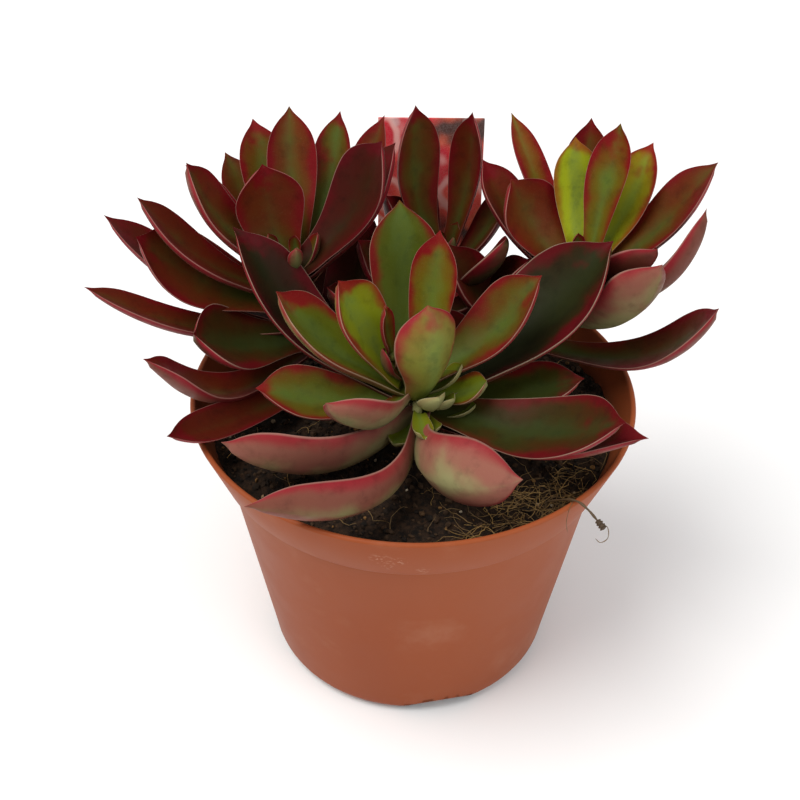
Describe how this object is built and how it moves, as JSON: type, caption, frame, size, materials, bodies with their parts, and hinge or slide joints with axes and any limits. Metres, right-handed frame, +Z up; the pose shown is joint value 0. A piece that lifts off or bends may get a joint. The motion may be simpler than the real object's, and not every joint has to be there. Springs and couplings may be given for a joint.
{
  "type": "potted succulent",
  "caption": "Branching rosette succulent with fleshy pointed leaves, planted in a tapered round nursery pot with soil and a stick-in plant label.",
  "frame": {"origin": "centre of the pot's flat underside, which stands on Z = 0", "axes": "+Z up along the pot's axis, -Y towards the front of the plant, +Y towards the label, +X to the right seen from the front"},
  "size_m": [0.1638, 0.12, 0.1511],
  "materials": {
    "terracotta_plastic": "satin",
    "potting_soil": "matte",
    "printed_label": "satin",
    "stem": "matte",
    "leaf_green": "matte",
    "leaf_bronze": "matte",
    "leaf_maroon": "matte"
  },
  "bodies": {
    "root": {"pot": "terracotta_plastic", "soil": "potting_soil", "label": "printed_label", "stems": "stem", "front_leaf_01": "leaf_green", "front_leaf_02": "leaf_green", "front_leaf_03": "leaf_green", "front_leaf_04": "leaf_green", "front_leaf_05": "leaf_green", "front_leaf_06": "leaf_green", "front_leaf_07": "leaf_green", "front_leaf_08": "leaf_green", "front_leaf_09": "leaf_green", "front_leaf_10": "leaf_green", "front_leaf_11": "leaf_bronze", "front_leaf_12": "leaf_bronze", "front_leaf_13": "leaf_bronze", "front_leaf_14": "leaf_bronze", "front_leaf_15": "leaf_bronze", "front_leaf_16": "leaf_bronze", "front_leaf_17": "leaf_bronze", "front_leaf_18": "leaf_bronze", "front_leaf_19": "leaf_green", "front_leaf_20": "leaf_green", "front_leaf_21": "leaf_green", "left_leaf_01": "leaf_bronze", "left_leaf_02": "leaf_bronze", "left_leaf_03": "leaf_bronze", "left_leaf_04": "leaf_bronze", "left_leaf_05": "leaf_bronze", "left_leaf_06": "leaf_bronze", "left_leaf_07": "leaf_bronze", "left_leaf_08": "leaf_bronze", "left_leaf_09": "leaf_bronze", "left_leaf_10": "leaf_bronze", "left_leaf_11": "leaf_bronze", "left_leaf_12": "leaf_bronze", "left_leaf_13": "leaf_bronze", "left_leaf_14": "leaf_bronze", "left_leaf_15": "leaf_bronze", "left_leaf_16": "leaf_bronze", "left_leaf_17": "leaf_bronze", "right_leaf_01": "leaf_bronze", "right_leaf_02": "leaf_bronze", "right_leaf_03": "leaf_bronze", "right_leaf_04": "leaf_bronze", "right_leaf_05": "leaf_bronze", "right_leaf_06": "leaf_bronze", "right_leaf_07": "leaf_bronze", "right_leaf_08": "leaf_bronze", "right_leaf_09": "leaf_bronze", "right_leaf_10": "leaf_bronze", "right_leaf_11": "leaf_bronze", "right_leaf_12": "leaf_bronze", "back_leaf_01": "leaf_maroon", "back_leaf_02": "leaf_maroon", "back_leaf_03": "leaf_maroon", "back_leaf_04": "leaf_maroon", "back_leaf_05": "leaf_maroon", "back_leaf_06": "leaf_maroon"}
  },
  "joints": []
}
